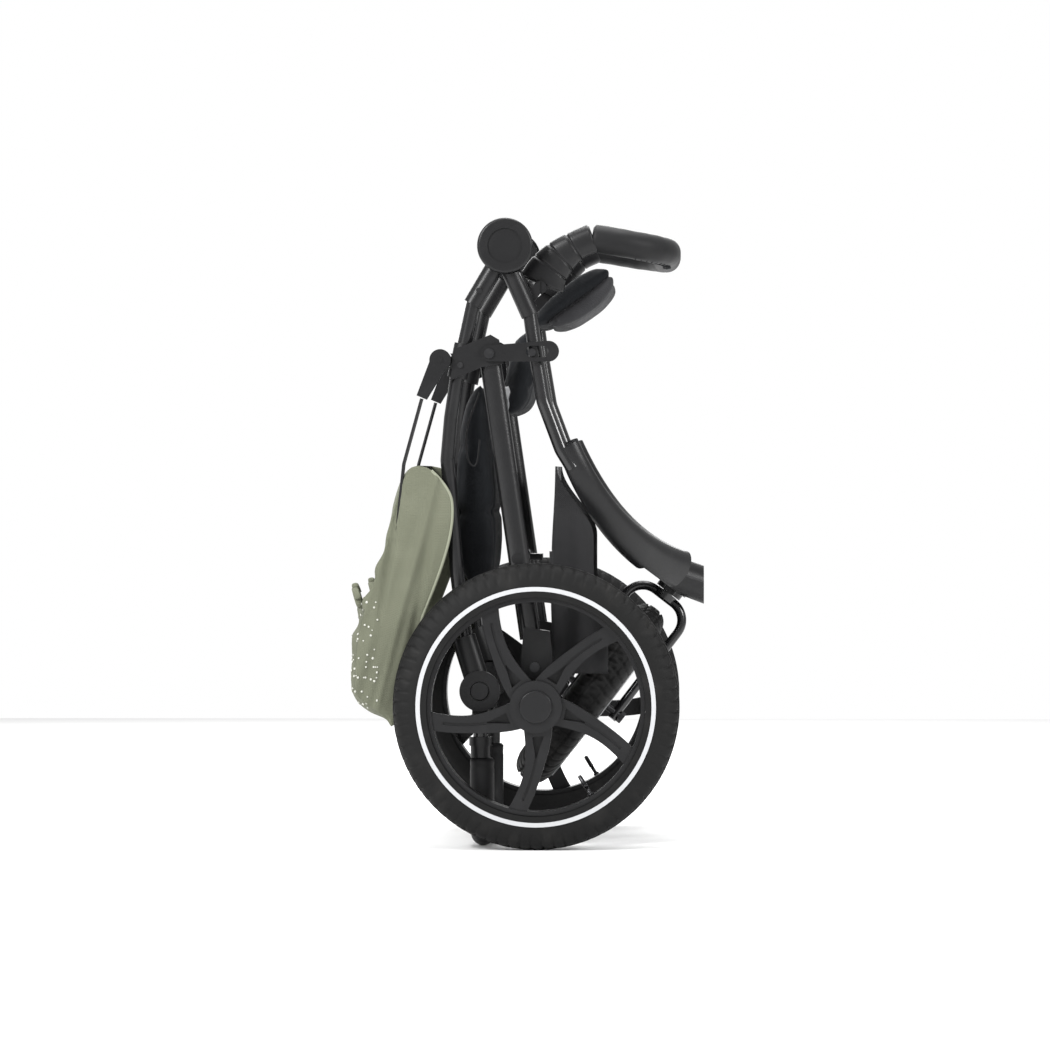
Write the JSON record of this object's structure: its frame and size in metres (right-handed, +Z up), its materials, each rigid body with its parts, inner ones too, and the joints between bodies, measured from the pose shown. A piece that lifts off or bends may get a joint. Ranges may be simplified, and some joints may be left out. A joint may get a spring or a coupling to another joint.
{
  "type": "jogging stroller",
  "caption": "Folded three-wheel jogging stroller standing on its rear wheels and handle, with spoked wheels, a swivel front wheel, a bumper bar and a gathered canopy.",
  "frame": {"origin": "on the floor under the middle of the folded stroller's box", "axes": "+X forward, +Y the stroller's left, +Z up"},
  "size_m": [0.491, 0.601, 0.8715],
  "materials": {
    "frame_tube": "satin",
    "plastic": "matte",
    "steel": "satin",
    "tyre": "matte",
    "reflector": "satin",
    "grip_foam": "matte",
    "seat_fabric": "matte",
    "mesh_fabric": "matte",
    "canopy_fabric": "matte"
  },
  "bodies": {
    "rear_frame": {"rear_leg_right": "frame_tube", "rear_leg_left": "frame_tube", "leg_housing_right": "plastic", "leg_housing_left": "plastic", "rear_axle_right": "steel", "rear_axle_left": "steel", "leg_brace": "frame_tube", "rear_frame_bolts": "steel"},
    "rear_wheel_right": {"rear_tyre_right": "tyre", "rear_reflector_right": "reflector", "rear_rim_right": "plastic", "rear_hub_cap_right": "plastic"},
    "rear_wheel_left": {"rear_tyre_left": "tyre", "rear_reflector_left": "reflector", "rear_rim_left": "plastic", "rear_hub_cap_left": "plastic"},
    "brake": {"brake_pedal": "plastic"},
    "push_frame": {"push_tube_right": "frame_tube", "push_tube_left": "frame_tube", "push_socket_right": "plastic", "push_socket_left": "plastic", "hinge_cover_right": "plastic", "hinge_cover_left": "plastic", "side_bracket_right": "plastic", "side_bracket_left": "plastic", "handle_knuckle_right": "plastic", "handle_knuckle_left": "plastic", "push_frame_screws": "steel", "seat_back": "seat_fabric", "seat_pan": "seat_fabric", "leg_rest": "seat_fabric", "canopy_rear": "canopy_fabric"},
    "button_right": {"handle_button_right": "plastic"},
    "button_left": {"handle_button_left": "plastic"},
    "handle": {"handle_tube": "frame_tube", "handle_grip": "grip_foam", "handle_collars": "plastic"},
    "front_frame": {"front_tube_right": "frame_tube", "front_tube_left": "frame_tube", "front_socket_right": "plastic", "front_socket_left": "plastic", "latch_pin": "steel", "front_shell": "plastic", "steering_head": "plastic", "basket": "mesh_fabric", "bumper_mounts": "plastic"},
    "bumper_bar": {"bumper_elbow_right": "plastic", "bumper_elbow_left": "plastic", "bumper_grip": "grip_foam"},
    "lock": {"swivel_lock": "plastic"},
    "fork": {"front_fork": "frame_tube", "front_axle": "steel"},
    "front_wheel": {"front_tyre": "tyre", "front_reflector": "reflector", "front_rim": "plastic"},
    "latch": {"latch_link": "plastic"},
    "canopy_hood": {"canopy_arm_right": "plastic", "canopy_arm_left": "plastic", "canopy_bow": "steel", "canopy_front": "canopy_fabric"}
  },
  "joints": [
    {"name": "rear_wheel_right_spin", "type": "hinge", "parent": "rear_frame", "child": "rear_wheel_right", "pos_m": [0.018, -0.2705, 0.1975], "axis": [0, 1, 0], "continuous": true},
    {"name": "rear_wheel_left_spin", "type": "hinge", "parent": "rear_frame", "child": "rear_wheel_left", "pos_m": [0.018, 0.2705, 0.1975], "axis": [0, 1, 0], "continuous": true},
    {"name": "brake_pedal_press", "type": "hinge", "parent": "rear_frame", "child": "brake", "pos_m": [-0.009, 0, 0.4], "axis": [0, 1, 0], "range_deg": [-20, 20]},
    {"name": "fold_main", "type": "hinge", "parent": "rear_frame", "child": "push_frame", "pos_m": [-0.048, 0, 0.684], "axis": [0, 1, 0], "range_deg": [0, 86]},
    {"name": "fold_front", "type": "hinge", "parent": "push_frame", "child": "front_frame", "pos_m": [-0.026, 0, 0.833], "axis": [0, -1, 0], "range_deg": [0, 172]},
    {"name": "handle_tilt", "type": "hinge", "parent": "push_frame", "child": "handle", "pos_m": [-0.061, 0, 0.217], "axis": [0, 1, 0], "range_deg": [0, 55]},
    {"name": "handle_button_right_press", "type": "slide", "parent": "push_frame", "child": "button_right", "axis": [0, 1, 0], "range_m": [0, 0.003], "stiffness_N_per_m": 600},
    {"name": "handle_button_left_press", "type": "slide", "parent": "push_frame", "child": "button_left", "axis": [0, -1, 0], "range_m": [0, 0.003], "stiffness_N_per_m": 600},
    {"name": "latch_link_swing", "type": "hinge", "parent": "rear_frame", "child": "latch", "pos_m": [-0.048, 0, 0.684], "axis": [0, -1, 0], "range_deg": [0, 60]},
    {"name": "canopy_open", "type": "hinge", "parent": "push_frame", "child": "canopy_hood", "pos_m": [-0.1155, 0, 0.675], "axis": [0, 1, 0], "range_deg": [0, 95]},
    {"name": "bumper_swing", "type": "hinge", "parent": "front_frame", "child": "bumper_bar", "pos_m": [0.022, 0, 0.776], "axis": [0, -1, 0], "range_deg": [0, 30]},
    {"name": "swivel_lock_slide", "type": "slide", "parent": "front_frame", "child": "lock", "axis": [0, -1, 0], "range_m": [0, 0.004], "stiffness_N_per_m": 600},
    {"name": "front_swivel", "type": "hinge", "parent": "front_frame", "child": "fork", "pos_m": [0.204, 0, 0.356], "axis": [-0.6112, 0, -0.7915], "continuous": true},
    {"name": "front_wheel_spin", "type": "hinge", "parent": "fork", "child": "front_wheel", "pos_m": [0.08849, -0.025, 0.20641], "axis": [0.7915, 0, -0.6112], "continuous": true}
  ],
  "couplings": [
    {"joint": "fold_front", "follows": "fold_main", "ratio": 2}
  ]
}
